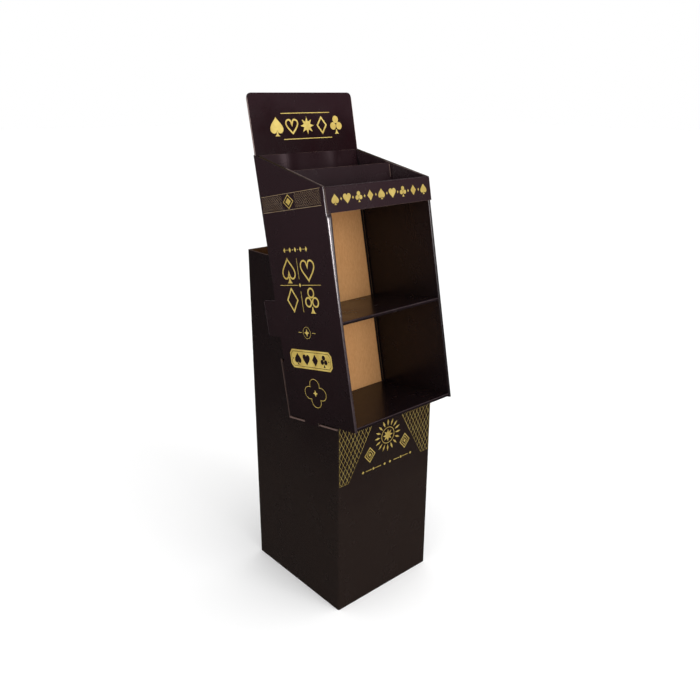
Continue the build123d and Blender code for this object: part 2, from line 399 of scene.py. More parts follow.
def case_face(centre, normal):
    """Case: printed on the outer walls, round the front folds and on the inner walls, with painted shade:
    darker print on the inner walls below the bin, and dark kraft between the walls and in the rear corners.
    """
    front_fold, rear_fold, wall_play, inward = 5 * mm, 1.5 * mm, 0.5 * mm, -0.05
    across, ahead, up = case_place(centre)
    outward = normal.x if across > 0 else -normal.x
    onward, rise = normal.dot(forward), normal.dot(upward)
    if abs(rise) > facing:
        return CUT
    if ahead > case_depth - front_fold:
        return front_fold_face(across, ahead, outward, onward)
    # Fillets in the rear corners take the dark kraft, as painted shade.
    if ahead < back_front + rear_fold and onward > 0 and outward < inward:
        return HIDDEN
    if outward > facing:
        return PRINT if abs(across) > outer_half - near else HIDDEN
    if outward < -facing:
        if abs(across) > inner_half(ahead) + wall_play:
            return HIDDEN
        # The inner walls below the bin take the darker inner print, as painted shade in the compartments.
        return PRINT if up > bin_floor else INNER
    if abs(across) < inner_rear_half + board and ahead < 2 * back_front:
        return BACK if onward > facing else BARE
    return CUT


def shelf_face(lean):
    """Shelf: printed on top, in the darker shelf print as painted shade, and round its front edge, bare
    below.
    """
    level = Vector((0, sin(lean), cos(lean)))
    straight_on = 0.9

    def choose(centre, normal):
        rise, onward = normal.dot(level), normal.dot(forward)
        if abs(normal.x) > facing or onward < -facing:
            return CUT
        if rise > turning or onward > turning:
            return FOLD if turning < onward < straight_on and rise > turning else INNER
        return BARE

    return choose


def tray_face(centre, normal):
    """Bin tray: printed inside the bin, over the front fold and on the front strip."""
    back_reach, strip_crest = 20 * mm, 0.4
    front_wall_rear, front_wall_front = case_depth - 12 * mm, case_depth - 3 * mm
    _, ahead, up = case_place(centre)
    onward, rise = normal.dot(forward), normal.dot(upward)
    if abs(normal.x) > facing:
        return CUT
    if rise > facing and up > bin_back_top - edge_reach:
        return CUT
    if rise < -facing and up < strip_low + edge_reach:
        return CUT
    on_strip = ahead > case_depth - edge_reach
    if rise > turning:
        return FOLD if on_strip and rise > strip_crest else PRINT
    if onward > turning and (ahead < back_reach or on_strip):
        return PRINT
    if onward < -turning and front_wall_rear < ahead < front_wall_front:
        return PRINT
    return BARE


def card_face(centre, normal):
    """Flat card: printed in front, bare behind."""
    onward = normal.dot(forward)
    if onward > facing:
        return PRINT
    return BARE if onward < -facing else CUT


def dress(name, finishes, choose):
    """Gives each face of a node the finish that suits its place in the sheet."""
    mesh = nodes[name].data
    mesh.materials.clear()
    for finish in finishes:
        mesh.materials.append(finish)
    for face in mesh.polygons:
        face.material_index = choose(face.center, face.normal)


case_finishes = (case_print, case_kraft, cut_edge, fold_print, shaded_inner_print, shaded_wall_kraft, back_kraft)
shelf_finishes = (case_print, case_kraft, cut_edge, fold_print, shaded_shelf_print)
dress("base_sleeve", (base_print, shaded_base_kraft, cut_edge), base_face)
dress("case_body", (*case_finishes[:FOLD], shut_fold, *case_finishes[INNER:]), case_face)
dress("bin_tray", case_finishes, tray_face)
dress("bin_divider", case_finishes, card_face)
dress("header_card", (header_print, case_kraft, cut_edge), card_face)
for shelf, lean in shelf_leans.items():
    dress(shelf, shelf_finishes, shelf_face(lean))


# Modelling helpers
def begin(add, **settings):
    """A new primitive, alone in the selection."""
    bpy.ops.object.select_all(action="DESELECT")
    add(**settings)
    return bpy.context.object


def pick(pieces):
    """Selects only these pieces, with the first one active."""
    bpy.ops.object.select_all(action="DESELECT")
    for piece in pieces:
        piece.select_set(True)
    bpy.context.view_layer.objects.active = pieces[0]


def apply_place():
    """Moves the places of the selected pieces into their meshes."""
    bpy.ops.object.transform_apply(location=True, rotation=True, scale=True)


def settle(piece, place=(0, 0), size=(1, 1), turn=0):
    """Sizes, turns and places a flat piece in its plane."""
    pick([piece])
    piece.scale = (*size, 1)
    piece.rotation_euler = (0, 0, turn)
    piece.location = (*place, 0)
    apply_place()
    return piece


def stand(piece, origin, axes):
    """Stands a flat piece at an origin, with its own X, Y and Z along three axes."""
    piece.matrix_world = Matrix.Translation(origin) @ Matrix(axes).transposed().to_4x4()


def repeat(piece, places):
    """Copies of a motif at the given places, each with its own mesh, instead of the motif."""
    copies = []
    for place in places:
        twin = piece.copy()
        twin.data = piece.data.copy()
        twin.location = (*place, 0)
        bpy.context.collection.objects.link(twin)
        copies.append(twin)
    bpy.data.objects.remove(piece)
    return copies


def join(pieces):
    """One piece of many, with its place in its mesh."""
    pick(pieces)
    if len(pieces) > 1:
        bpy.ops.object.join()
    apply_place()
    return bpy.context.object


def finish_modifier(piece, kind, **settings):
    """Adds a modifier and applies it."""
    pick([piece])
    modifier = piece.modifiers.new(kind.title(), kind)
    for name, value in settings.items():
        setattr(modifier, name, value)
    bpy.ops.object.modifier_apply(modifier=modifier.name)
    return piece


def edit_all(piece):
    """Opens a mesh for editing, all selected."""
    pick([piece])
    bpy.ops.object.mode_set(mode="EDIT")
    bpy.ops.mesh.select_all(action="SELECT")


def end_edit():
    """Closes the mesh that is being edited."""
    bpy.ops.object.mode_set(mode="OBJECT")


def add_piece(piece, name):
    """Names a finished piece and attaches it to the body that it rides on."""
    piece.name = piece.data.name = name
    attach(piece, "root")


# Motifs, drawn flat in the plane of their panel
disc_corners, curve_steps = 40, 10
rule_point, diamond_width, ray_width = 0.45, 0.74, 0.30
leaf_radius, leaf_spread, leaf_low, leaf_high = 0.205, 0.215, -0.07, 0.285
cut_tolerance = 0.02 * mm


def rim(piece, line):
    """Leaves a line of the given width along the outline of each face, or the whole face if it is 0."""
    if line:
        edit_all(piece)
        bpy.ops.mesh.inset(thickness=line, use_even_offset=True, use_individual=True)
        bpy.ops.mesh.delete(type="FACE")
        end_edit()
    return piece


def lozenge(place, width, height):
    """A rhombus that stands on its point."""
    piece = begin(bpy.ops.mesh.primitive_circle_add, vertices=4, radius=0.5, fill_type="NGON")
    return settle(piece, place, (width, height))


def disc(place, radius):
    """A round dot."""
    piece = begin(
        bpy.ops.mesh.primitive_circle_add, vertices=disc_corners, radius=radius, fill_type="NGON"
    )
    return settle(piece, place)


def plaque(place, width, height, corner, turn=0):
    """A plate with its corners cut off."""
    piece = begin(bpy.ops.mesh.primitive_plane_add, size=1)
    settle(piece, size=(width, height))
    edit_all(piece)
    bpy.ops.mesh.bevel(offset=corner, affect="VERTICES")
    end_edit()
    return settle(piece, place, turn=turn)


def rule(place, length, line, turn=0):
    """A thin rule with pointed ends."""
    return plaque(place, length, line, rule_point * line, turn)


def star(place, radius, points, waist):
    """A star, from a circle with every second corner drawn in."""
    piece = begin(
        bpy.ops.mesh.primitive_circle_add, vertices=2 * points, radius=radius, fill_type="NGON"
    )
    for corner in list(piece.data.vertices)[1::2]:
        corner.co *= waist
    return settle(piece, place)


def mirrored_face(right_half):
    """A flat face in a Bezier outline, one unit high.

    Its right half is given from the bottom up, each knot as a point, the handle before it and the
    handle after it.
    """
    left_half = [
        tuple((-x, y) for x, y in (point, after, before))
        for point, before, after in reversed(right_half)
        if point[0] > 0
    ]
    curve = bpy.data.curves.new("outline", "CURVE")
    curve.resolution_u = curve_steps
    spline = curve.splines.new("BEZIER")
    spline.use_cyclic_u = True
    whole = right_half + left_half
    spline.bezier_points.add(len(whole) - 1)
    for knot, (point, before, after) in zip(spline.bezier_points, whole):
        knot.co, knot.handle_left, knot.handle_right = (*point, 0), (*before, 0), (*after, 0)
    piece = bpy.data.objects.new("outline", curve)
    bpy.context.collection.objects.link(piece)
    pick([piece])
    bpy.ops.object.convert(target="MESH")
    edit_all(piece)
    bpy.ops.mesh.edge_face_add()
    end_edit()
    if piece.data.polygons[0].normal.z < 0:
        piece.data.flip_normals()
    return piece


def heart(place, height, line=0):
    """A heart, whole or as an outline."""
    piece = mirrored_face([
        ((0, -0.5), (-0.10, -0.33), (0.10, -0.33)),
        ((0.47, 0.16), (0.47, -0.08), (0.47, 0.42)),
        ((0, 0.22), (0.07, 0.53), (-0.07, 0.53)),
    ])
    return settle(rim(settle(piece, size=(height, height)), line), place)


def foot(height):
    """The flared foot of a spade or a club."""
    piece = mirrored_face([
        ((0.17, -0.5), (0.06, -0.5), (0.08, -0.46)),
        ((0.03, -0.25), (0.035, -0.36), (0.02, -0.25)),
    ])
    return settle(piece, size=(height, height))


def spade(place, height, line=0):
    """A spade on a flared foot, whole or as an outline."""
    leaf = mirrored_face([
        ((0, -0.18), (-0.07, -0.46), (0.07, -0.46)),
        ((0.43, -0.12), (0.43, -0.38), (0.43, 0.10)),
        ((0, 0.5), (0.10, 0.32), (-0.10, 0.32)),
    ])
    settle(leaf, size=(height, height))
    return settle(join([rim(leaf, line), foot(height)]), place)


def diamond(place, height, line=0):
    """A diamond, whole or as an outline."""
    return settle(rim(lozenge((0, 0), diamond_width * height, height), line), place)


def club(place, height, line=0):
    """A club of three round leaves on a flared foot, whole or as outlines."""
    leaf = disc((0, 0), leaf_radius * height)
    spots = (0, leaf_high), (-leaf_spread, leaf_low), (leaf_spread, leaf_low)
    leaves = repeat(rim(leaf, line), [(x * height, y * height) for x, y in spots])
    return settle(join(leaves + [foot(height)]), place)


def quatrefoil(place, width, height, line):
    """Outline of four round lobes."""
    piece = mirrored_face([
        ((0, -0.5), (-0.15, -0.5), (0.15, -0.5)),
        ((0.22, -0.22), (0.25, -0.36), (0.36, -0.25)),
        ((0.5, 0), (0.5, -0.15), (0.5, 0.15)),
        ((0.22, 0.22), (0.36, 0.25), (0.25, 0.36)),
        ((0, 0.5), (0.15, 0.5), (-0.15, 0.5)),
    ])
    return settle(rim(settle(piece, size=(width, height)), line), place)


def sunburst(place, inner, outer, rays):
    """Pointed rays around a centre."""
    piece = lozenge((0, (inner + outer) / 2), ray_width * (outer - inner), outer - inner)
    edit_all(piece)
    bpy.ops.mesh.spin(
        steps=rays - 1, dupli=True, angle=2 * pi * (rays - 1) / rays, center=(0, 0, 0), axis=plumb
    )
    end_edit()
    return settle(piece, place)


def zigzag(left, right, low, high, pitch, line, rows):
    """Rows of zigzag lines that fill a band."""
    teeth = round((right - left) / pitch)
    row_height = (high - low) / rows
    piece = begin(
        bpy.ops.mesh.primitive_grid_add, x_subdivisions=2 * teeth, y_subdivisions=1, size=1
    )
    settle(piece, ((left + right) / 2, low + line), (right - left, line))
    tooth = (right - left) / (2 * teeth)
    for corner in piece.data.vertices:
        if round((corner.co.x - left) / tooth) % 2:
            corner.co.y += row_height - line
    return finish_modifier(
        piece, "ARRAY", count=rows, use_relative_offset=False, use_constant_offset=True,
        constant_offset_displace=(0, row_height, 0),
    )


def lattice(corners, cell_width, cell_height, line):
    """A field of crossed lines, cut to a polygon of corners that run anticlockwise."""
    centre = sum((Vector(corner) for corner in corners), Vector((0, 0))) / len(corners)
    reach = max((Vector(corner) - centre).length for corner in corners)
    cells = 2 * round(2 * reach / cell_width)
    piece = begin(
        bpy.ops.mesh.primitive_grid_add, x_subdivisions=cells, y_subdivisions=cells, size=cells / 2 ** 0.5
    )
    settle(piece, turn=pi / 4)
    settle(piece, centre, (cell_width, cell_height))
    for corner, following in zip(corners, corners[1:] + corners[:1]):
        along = Vector(following) - Vector(corner)
        edit_all(piece)
        outward = (along.y, -along.x, 0)
        bpy.ops.mesh.bisect(
            plane_co=(*corner, 0), plane_no=outward, clear_outer=True, threshold=cut_tolerance
        )
        end_edit()
    return rim(piece, line / 2)


# Gold print, panel by panel
ink = 0.15 * mm
thin_line, fine_line, bold_line = 1.6 * mm, 2.2 * mm, 5.0 * mm
heart_share = 0.94  # height of a heart beside the other suits
sparkle_points, sparkle_waist = 4, 0.4
rosette_points, rosette_waist = 8, 0.5


def inked(pieces, finish, layers=0):
    """Gives motifs their ink, over so many layers of ink."""
    for piece in pieces:
        piece.data.materials.clear()
        piece.data.materials.append(finish)
        piece.location.z = layers * ink
    return pieces


def spread(count, step):
    """Offsets of so many motifs, evenly spaced about a middle."""
    return [(n - (count - 1) / 2) * step for n in range(count)]


def row(motif, middle, level, offsets):
    """Copies of a motif in a level row, at offsets from its middle."""
    return repeat(motif, [(middle + offset, level) for offset in offsets])


def print_panel(name, pieces, origin, right, up):
    """Joins the motifs of a panel, gives the ink its thickness and lays it on the board."""
    piece = join(pieces)
    finish_modifier(piece, "SOLIDIFY", thickness=ink, offset=1.0)
    stand(piece, origin, (right, up, right.cross(up)))
    apply_place()
    add_piece(piece, name)


# Side wall: forward of its rear edge, and up
side_middle, side_far = 138 * mm, 293 * mm
band_low, band_high = 630 * mm, 676 * mm
plaque_level = 191 * mm


def side_band():
    """Rows of zigzag lines between two rules, with a gap for the lozenges."""
    rule_middle, rule_length, rule_line = 146.5 * mm, 281 * mm, 0.8 * mm
    margin, pitch, line, rows = 3 * mm, 10 * mm, 0.44 * mm, 5
    fields = (8 * mm, 108 * mm), (168 * mm, 285 * mm)
    pieces = [rule((rule_middle, level), rule_length, rule_line) for level in (band_low, band_high)]
    for left, right in fields:
        pieces.append(zigzag(left, right, band_low + margin, band_high - margin, pitch, line, rows))
    return pieces


def side_lozenges():
    """A lozenge within an outline of another, in the gap of the band."""
    width, height, inner_width, inner_height = 50 * mm, 41 * mm, 26 * mm, 21 * mm
    place = (side_middle, (band_low + band_high) / 2)
    return [rim(lozenge(place, width, height), fine_line), lozenge(place, inner_width, inner_height)]


def side_beads():
    """A row of lozenges with dots between them."""
    level, count, step = 517 * mm, 5, 26 * mm
    width, height, dot = 11 * mm, 15 * mm, 1.8 * mm
    beads = row(lozenge((0, 0), width, height), side_middle, level, spread(count, step))
    return beads + row(disc((0, 0), dot), side_middle, level, spread(count - 1, step))


def side_suits():
    """Four suits, parted by a cross of thin rules with a lozenge in the middle."""
    high, low, wide, suit = 458 * mm, 370 * mm, 46 * mm, 76 * mm
    arm, arm_length, stem, stem_length, knot = 54 * mm, 88 * mm, 4 * mm, 62 * mm, 12 * mm
    left, right, centre = side_middle - wide, side_middle + wide, (high + low) / 2
    pieces = [
        spade((left, high), suit, bold_line),
        heart((right, high), heart_share * suit, bold_line),
        diamond((left, low), suit, bold_line),
        club((right, low), suit, bold_line),
    ]
    pieces += [rule((side_middle + side * arm, centre), arm_length, thin_line) for side in (-1, 1)]
    for level in (high + stem, low - stem):
        pieces.append(rule((side_middle, level), stem_length, thin_line, pi / 2))
    return pieces + [lozenge((side_middle, centre), knot, knot)]


def side_ring():
    """A star in a ring, between two dashes."""
    level, radius, line, star_radius = 273 * mm, 18 * mm, 1.0 * mm, 12 * mm
    away, dash_length, dash_line = 33 * mm, 16 * mm, 1.4 * mm
    place = (side_middle, level)
    pieces = [rim(disc(place, radius), line), star(place, star_radius, sparkle_points, sparkle_waist)]
    return pieces + row(rule((0, 0), dash_length, dash_line), side_middle, level, (-away, away))


def side_plaque():
    """A plate of solid ink."""
    width, height, corner = 200 * mm, 58 * mm, 12 * mm
    return [plaque((side_middle, plaque_level), width, height, corner)]


def plaque_marks():
    """Marks on the plaque: a border, the four suits and a dot at each end."""
    width, height, corner, line = 189 * mm, 47 * mm, 9 * mm, 1.4 * mm
    suit, step, away, dot = 37 * mm, 42 * mm, 86 * mm, 2.2 * mm
    suits = (spade, heart, diamond, club)
    pieces = [rim(plaque((side_middle, plaque_level), width, height, corner), line)]
    for mark, offset in zip(suits, spread(len(suits), step)):
        pieces.append(mark((side_middle + offset, plaque_level), suit))
    return pieces + row(disc((0, 0), dot), side_middle, plaque_level, (-away, away))


def side_quatrefoil():
    """A star in a quatrefoil."""
    level, width, height, star_radius = 88 * mm, 104 * mm, 90 * mm, 11 * mm
    place = (side_middle, level)
    return [
        quatrefoil(place, width, height, thin_line),
        star(place, star_radius, sparkle_points, sparkle_waist),
    ]


def side_motifs():
    """Side wall, from the top down: band, beads, suits, ring, plaque with dark marks and quatrefoil."""
    band = inked(side_band(), band_gold)
    gold = side_lozenges() + side_beads() + side_suits() + side_ring() + side_plaque() + side_quatrefoil()
    return inked(gold, side_gold) + band + inked(plaque_marks(), case_print, layers=1)


# Front of the base: across and up
base_middle = 5 * mm


def base_lattices():
    """A field of lattice in each upper corner, cut off aslant towards the middle."""
    top, low, far, low_near, top_near = 650 * mm, 451 * mm, 196 * mm, 159 * mm, 45 * mm
    cell_width, cell_height, line = 15.4 * mm, 28.4 * mm, 0.85 * mm
    fields = []
    for side in (-1, 1):
        corners = [(side * far, low), (side * low_near, low), (side * top_near, top), (side * far, top)]
        fields.append(lattice(corners[::-side], cell_width, cell_height, line))
    return fields


def base_sun():
    """A sunburst round a star in a ring."""
    level, ray_start, ray_end, rays = 563 * mm, 32 * mm, 56 * mm, 16
    ring, star_radius = 28 * mm, 21 * mm
    place = (base_middle, level)
    return [
        sunburst(place, ray_start, ray_end, rays),
        rim(disc(place, ring), fine_line),
        star(place, star_radius, rosette_points, rosette_waist),
    ]


def base_lozenges():
    """Three lozenges within one another on each side of the sunburst."""
    level, away = 519 * mm, 76 * mm
    nest = (46 * mm, 54 * mm, 3 * mm), (28 * mm, 33 * mm, 2 * mm), (11 * mm, 13 * mm, 0)
    pieces = []
    for side in (-1, 1):
        place = (base_middle + side * away, level)
        pieces += [rim(lozenge(place, width, height), line) for width, height, line in nest]
    return pieces


def base_dashes():
    """A line of dashes, with beads at their ends."""
    level, step, length, line, bead = 466 * mm, 40 * mm, 26 * mm, 2.4 * mm, 10 * mm
    dashes, beads = (-2, -1, 1, 2), (-2.6, -1.5, -0.3, 0.3, 1.5, 2.6)
    pieces = row(rule((0, 0), length, line), base_middle, level, [n * step for n in dashes])
    return pieces + row(lozenge((0, 0), bead, bead), base_middle, level, [n * step for n in beads])


def base_motifs():
    """Front of the base: lattices, a sunburst between lozenges, and a line of dashes."""
    return inked(base_lattices() + base_sun() + base_lozenges() + base_dashes(), base_gold)


def header_motifs():
    """Header, across and up: the four suits about a star, between two rules."""
    middle, level, suit, step, star_radius = 6 * mm, 878 * mm, 56 * mm, 58 * mm, 26 * mm
    away, rule_length = 38 * mm, 190 * mm
    gold = [
        spade((middle - 2 * step, level), suit),
        heart((middle - step, level), heart_share * suit, bold_line),
        star((middle, level), star_radius, rosette_points, rosette_waist),
        diamond((middle + step, level), suit, bold_line),
        club((middle + 2 * step, level), suit),
    ]
    gold += [rule((middle, level + side * away), rule_length, fine_line) for side in (-1, 1)]
    return inked(gold, header_gold)


def strip_motifs():
    """Front strip, across and up: nine small suits in turn, with beads between them."""
    level, step, suit, bead_width, bead_height = 641 * mm, 43 * mm, 30 * mm, 6 * mm, 9 * mm
    suits = (spade, heart, club, diamond) * 2 + (spade,)
    gold = [mark((offset, level), suit) for mark, offset in zip(suits, spread(len(suits), step))]
    gold += row(lozenge((0, 0), bead_width, bead_height), 0, level, spread(len(suits) - 1, step))
    return inked(gold, strip_gold)


header_front, strip_front = 4.3 * mm, 306.5 * mm
print_panel("side_print_left", side_motifs(), case_point(-outer_half, 0, 0), forward, upward)
print_panel("side_print_right", side_motifs(), case_point(outer_half, side_far, 0), -forward, upward)
print_panel("base_print_front", base_motifs(), Vector((0, base_low.y, 0)), rightward, plumb)
print_panel("header_print", header_motifs(), case_point(0, header_front, 0), rightward, upward)
print_panel("strip_print", strip_motifs(), case_point(0, strip_front, 0), rightward, upward)


# Cut edges of the board
flute_paper, edge_rise = 0.40 * mm, 0.25 * mm
steps_per_flute = 8


def lay(piece, start, end, out, rise):
    """Gives a flat piece its thickness and lays it along a line, facing out."""
    finish_modifier(piece, "SOLIDIFY", thickness=rise, offset=1.0)
    along = (end - start).normalized()
    stand(piece, start, (along, out.cross(along), out))
    return piece


def fluting(length):
    """The wave of paper between the liners, seen in the cut."""
    flutes = max(1, round(length / flute_pitch))
    wave = begin(
        bpy.ops.mesh.primitive_grid_add, x_subdivisions=flutes * steps_per_flute, y_subdivisions=1, size=1
    )
    settle(wave, (length / 2, 0), (length, flute_paper))
    swing = half_board - liner - flute_paper / 2
    for corner in wave.data.vertices:
        corner.co.y += swing * sin(2 * pi * flutes * corner.co.x / length)
    return wave


def cut_edge_run(start, end, out, fluted=False, rise=edge_rise):
    """Both liners along the middle line of a cut edge, and the fluting where the cut crosses it."""
    length = (end - start).length
    pieces = []
    for side in (-1, 1):
        strip = begin(bpy.ops.mesh.primitive_plane_add, size=1)
        pieces.append(settle(strip, (length / 2, side * (board - liner) / 2), (length, liner)))
    if fluted:
        pieces.append(fluting(length))
    return lay(join(pieces), start, end, out, rise)


def level_edge(half, ahead, up, out=upward):
    """The fluted cut edge of a card that runs level across the case."""
    return cut_edge_run(case_point(-half, ahead, up), case_point(half, ahead, up), out, fluted=True)


def end_edges(half, ahead, low, high, rise=edge_rise):
    """The plain cut edges at both ends of a card."""
    runs = []
    for side in (-1, 1):
        ends = (case_point(side * half, ahead, up) for up in (low, high))
        runs.append(cut_edge_run(*ends, side * rightward, rise=rise))
    return runs


def highlight_run(start, end, out, width):
    """A pale strip along the edge of a panel: a painted highlight where the edge catches the light."""
    length = (end - start).length
    strip = begin(bpy.ops.mesh.primitive_plane_add, size=1)
    settle(strip, (length / 2, width / 2), (length, width))
    return lay(strip, start, end, out, ink)


def edge_piece(name, pieces, finish):
    """The paper of the edges of one sheet, as one piece."""
    for piece in pieces:
        piece.data.materials.append(finish)
    add_piece(join(pieces), name)


# Edges of the case
fold_start = 297 * mm  # where the sloping tops run into the front folds
pale_start = 135 * mm  # the tops of the inner walls are drawn dark behind this, as painted shade, and pale in front of it, lighter than the other edges as painted light
tab_length, tab_low, tab_high, tab_round = 60 * mm, 254 * mm, 366 * mm, 4 * mm
rear_edge_low = 184 * mm
tab_end_highlight, tab_top_highlight = 2.6 * mm, 1.8 * mm
outer_middle = outer_half - half_board
slope_out = ((side_rear - side_front) * forward + case_depth * upward).normalized()


def slope_run(side, first, last, outer=False):
    """The cut edge along the sloping top of an outer or inner wall."""
    ends = []
    for ahead in (first, last):
        across = outer_middle if outer else inner_half(ahead) + half_board
        up = side_rear - (side_rear - side_front) * ahead / case_depth
        ends.append(case_point(side * across, ahead, up))
    return cut_edge_run(*ends, slope_out, fluted=True)


def case_dark_edges():
    """Cut edges drawn near-black: tops of the outer walls, rear of the inner ones, rear edges and tabs. On
    the tops of the walls the dark is painted shade.
    """
    rear_edges = (
        (0, rear_edge_low, tab_low),
        (-tab_length, tab_low + tab_round, tab_high - tab_round),
        (0, tab_high, side_rear),
    )
    runs = []
    for side in (-1, 1):
        runs.append(slope_run(side, 0, fold_start, outer=True))
        runs.append(slope_run(side, back_front, pale_start))
        for ahead, low, high in rear_edges:
            ends = (case_point(side * outer_middle, ahead, up) for up in (low, high))
            runs.append(cut_edge_run(*ends, -forward))
    return runs


def case_tab_highlights():
    """Painted highlights along the ends and tops of the rear tabs, on their outer faces, where their die-cut
    edges catch the light.
    """
    end_line = (-tab_length, tab_low + tab_round), (-tab_length, tab_high - tab_round)
    top_line = (tab_round - tab_length, tab_high), (0, tab_high)
    runs = []
    for side in (-1, 1):
        for line, highlight_width in ((end_line, tab_end_highlight), (top_line, tab_top_highlight)):
            ends = [case_point(side * outer_half, ahead, up) for ahead, up in line[::-side]]
            runs.append(highlight_run(*ends, side * rightward, highlight_width))
    return runs


pale_slopes = [slope_run(side, pale_start, fold_start) for side in (-1, 1)]
edge_piece("case_cut_edges", pale_slopes, lit_wall_edge)
edge_piece("case_dark_edges", case_dark_edges(), dark_edge)
edge_piece("case_tab_edge_highlights", case_tab_highlights(), fold_print)

# Edges of the header
header_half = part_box("header_card")[1].x
header_low, header_top, header_corner, header_middle = 655 * mm, 976 * mm, 14 * mm, 2.3 * mm
header_side_rise = 1.0 * mm
header_upper = level_edge(header_half - header_corner, header_middle, header_top)
edge_piece("header_cut_edges", [header_upper], edge_paper)
header_sides = end_edges(
    header_half, header_middle, header_low, header_top - header_corner, header_side_rise
)
edge_piece("header_side_edges", header_sides, lit_pale_edge)

# Edges of the bin tray
bin_back_half, bin_back_middle = 186.1 * mm, 10.9 * mm
strip_half, strip_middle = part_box("bin_tray")[1].x, 304.5 * mm
tray_edges = [
    level_edge(bin_back_half, bin_back_middle, bin_back_top),
    level_edge(strip_half, strip_middle, strip_low, -upward),
    *end_edges(strip_half, strip_middle, strip_low, strip_high),
]
edge_piece("tray_cut_edges", tray_edges, edge_paper)

# Edges of the divider
divider_half, divider_middle, divider_top = 186.7 * mm, 158 * mm, 735.1 * mm
divider_highlight_width, divider_highlight_length, divider_round = 2.2 * mm, 42 * mm, 3 * mm


def divider_end_highlights():
    """Painted highlights along the ends of the divider, on its front."""
    levels = divider_top - divider_highlight_length, divider_top - divider_round
    runs = []
    for side in (1, -1):
        ends = (case_point(side * divider_half, divider_middle + half_board, up) for up in levels[::side])
        runs.append(highlight_run(*ends, forward, divider_highlight_width))
    return runs


edge_piece("divider_cut_edge", [level_edge(divider_half, divider_middle, divider_top)], edge_paper)
edge_piece("divider_highlit_ends", divider_end_highlights(), edge_paper)

# Edges of the base: its rim, and the notch in each side wall from the front up to the rear
rim_x, rim_y, rim_z = base_high.x - half_board, base_high.y - half_board, base_high.z
rim_front = 96 * mm
notch_front, notch_rear, notch_step, notch_ledge, notch_top = (
    Vector((0, y, z)) * mm
    for y, z in ((-213, 640.5), (19, 602.5), (58.3, 790.6), (31.8, 795.9), (95.9, 1111))
)
notch_rise, step_rise = 4.5 * mm, 1.5 * mm
notch_out = rightward.cross(notch_rear - notch_front).normalized()


def base_edges():
    """Rear rim, and on each side the rim, the seat of the notch and its two upright stretches."""
    rear_ends = (Vector((side * rim_x, rim_y, rim_z)) for side in (-1, 1))
    runs = [cut_edge_run(*rear_ends, plumb, fluted=True)]
    for side in (-1, 1):
        wall = side * rim_x * rightward
        rim_ends = (wall + Vector((0, y, rim_z)) for y in (rim_front, rim_y - half_board))
        runs += [
            cut_edge_run(*rim_ends, plumb, fluted=True),
            cut_edge_run(wall + notch_front, wall + notch_rear, notch_out, fluted=True, rise=notch_rise),
            cut_edge_run(wall + notch_rear, wall + notch_step, forward, rise=step_rise),
            cut_edge_run(wall + notch_ledge, wall + notch_top, forward),
        ]
    return runs


edge_piece("base_cut_edges", base_edges(), base_edge)

# Printed liner of the bin's back, which stands away from the board in two places
liner_low, liner_half, liner_ahead = 690 * mm, 185.8 * mm, 12.9 * mm
liner_columns, liner_rows, liner_smooth = 150, 20, radians(40)
# Place across, rise, reach to the left and reach to the right
bulges = (-86 * mm, 3.5 * mm, 19 * mm, 17 * mm), (95 * mm, 4.2 * mm, 22 * mm, 13 * mm)


def bulge(across, up):
    """How far the liner stands away from the board."""
    height = max(0, min(1, (up - liner_low) / (bin_back_top - liner_low)))
    swell = 0
    for place, rise, left, right in bulges:
        reach = left if across < place else right
        swell += rise * exp(-(((across - place) / reach) ** 2) / 2)
    return swell * sin(pi / 2 * height) ** 2


def bin_back_liner():
    """The liner as a sheet of paper, flat along its foot and bulging towards its top."""
    sheet = begin(
        bpy.ops.mesh.primitive_grid_add, x_subdivisions=liner_columns, y_subdivisions=liner_rows, size=1
    )
    settle(sheet, (0, (liner_low + bin_back_top) / 2), (2 * liner_half, bin_back_top - liner_low))
    for corner in sheet.data.vertices:
        corner.co.z = bulge(corner.co.x, corner.co.y)
    finish_modifier(sheet, "SOLIDIFY", thickness=liner, offset=1.0)
    stand(sheet, case_point(0, liner_ahead, 0), (rightward, upward, forward))
    apply_place()
    bpy.ops.object.shade_smooth_by_angle(angle=liner_smooth)
    sheet.data.materials.append(liner_print)
    return sheet


add_piece(bin_back_liner(), "bin_back_liner")

# Left front fold, which stands open above the shelf and is held shut again behind the strip
gape_low, gape_high, gape_width, gape_bend = 324 * mm, 670 * mm, 9.5 * mm, 1.4
fold_tip, tip_radius, fold_fullness = 302.25 * mm, 4.75 * mm, 2.4
fold_thrust, thrust_gap, thrust_run, thrust_depth = 4.4 * mm, 2 * mm, 9 * mm, 1.65
skin_outer_start, skin_inner_end, skin_proud = 286 * mm, 215 * mm, 0.2 * mm
skin_columns, skin_rows, skin_smooth = 72, 100, radians(50)
outer_share, nose_share = 0.08, 0.6  # of the columns, on the outer wall and round the nose
nose_facing = 0.12
SKIN_NOSE, SKIN_OUTER, SKIN_INNER, SKIN_SHUT = range(4)


def gape(up):
    """How much wider than shut the fold stands."""
    share = (up - gape_low) / (strip_low - gape_low)
    if share > 1:
        share = max(0, 1 - (up - strip_low) / (gape_high - strip_low))
    return gape_width * share ** gape_bend


def thrust(up):
    """How far forward the open fold stands. It runs out just below the strip."""
    below = max(0, min(1, (strip_low - thrust_gap - up) / thrust_run))
    return fold_thrust * gape(up) / gape_width * sin(pi / 2 * below) ** 2


